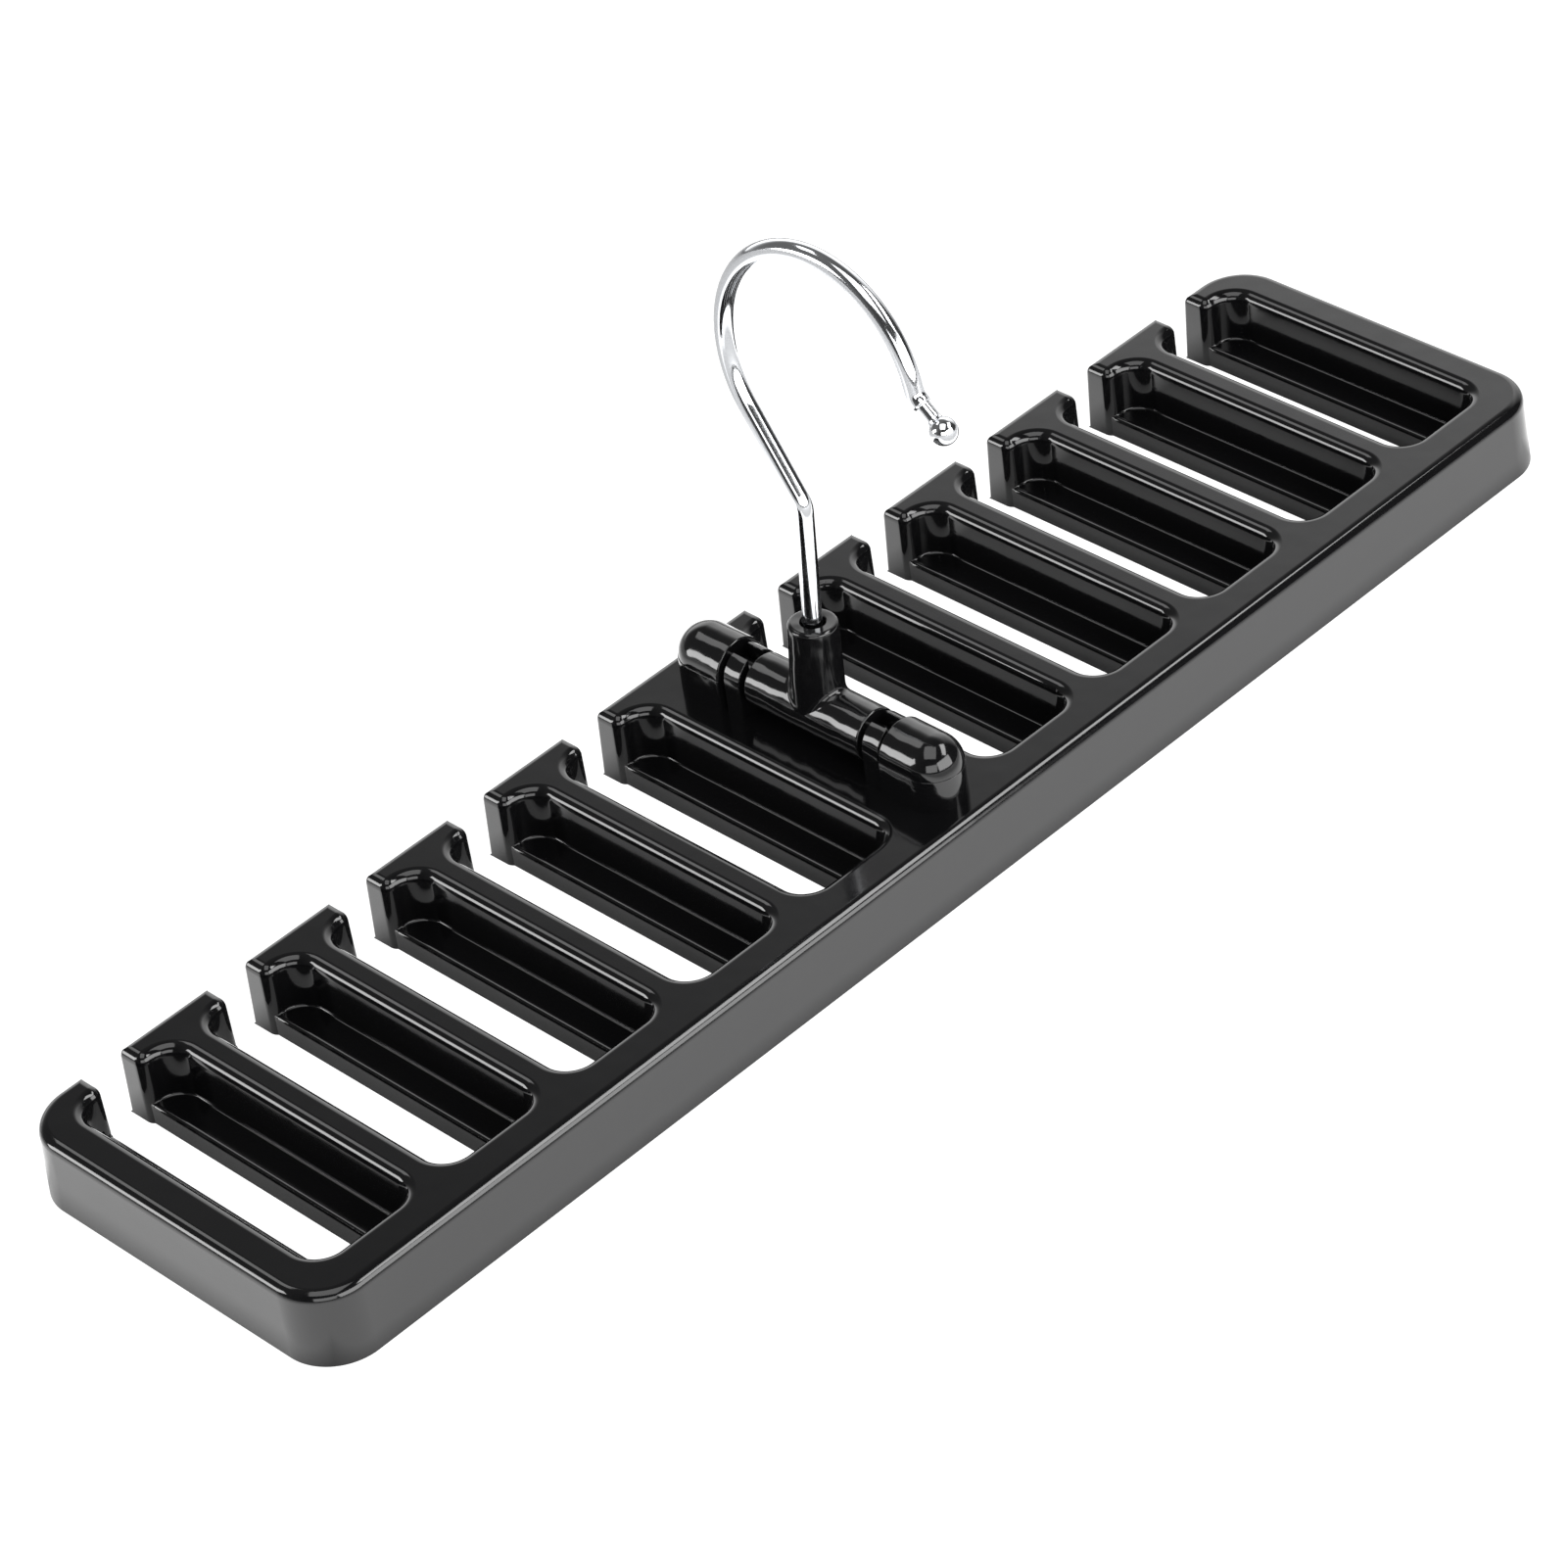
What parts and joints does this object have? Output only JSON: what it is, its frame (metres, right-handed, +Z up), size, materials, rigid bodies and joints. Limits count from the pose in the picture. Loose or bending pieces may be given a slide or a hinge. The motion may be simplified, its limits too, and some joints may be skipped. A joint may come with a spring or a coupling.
{
  "type": "tie hanger",
  "caption": "Comb-shaped plastic tie rack with open slots along one side, a tilting tee clipped to its middle and a swivelling wire hook.",
  "frame": {"origin": "middle of the rack's underside, on the surface that it lies on", "axes": "+X along the rack, +Y from the spine towards the slots' mouths, +Z up"},
  "size_m": [0.3088, 0.077, 0.115],
  "materials": {
    "rack": "glossy black moulded plastic",
    "swivel_tee": "glossy black moulded plastic",
    "hook_wire": "bright chrome-plated wire",
    "retaining_washer": "zinc-plated stamped steel"
  },
  "bodies": {
    "rack": {"rack": "rack"},
    "tee": {"swivel_tee": "swivel_tee"},
    "hook": {"hook_wire": "hook_wire", "retaining_washer": "retaining_washer"}
  },
  "joints": [
    {"name": "tee_tilt", "type": "hinge", "parent": "rack", "child": "tee", "pos_m": [0, -0.0005, 0.0209], "axis": [0, 1, 0], "range_deg": [-76, 68]},
    {"name": "hook_swivel", "type": "hinge", "parent": "tee", "child": "hook", "pos_m": [0, -0.0005, 0.0209], "axis": [0.0698, 0, 0.9976], "continuous": true}
  ]
}
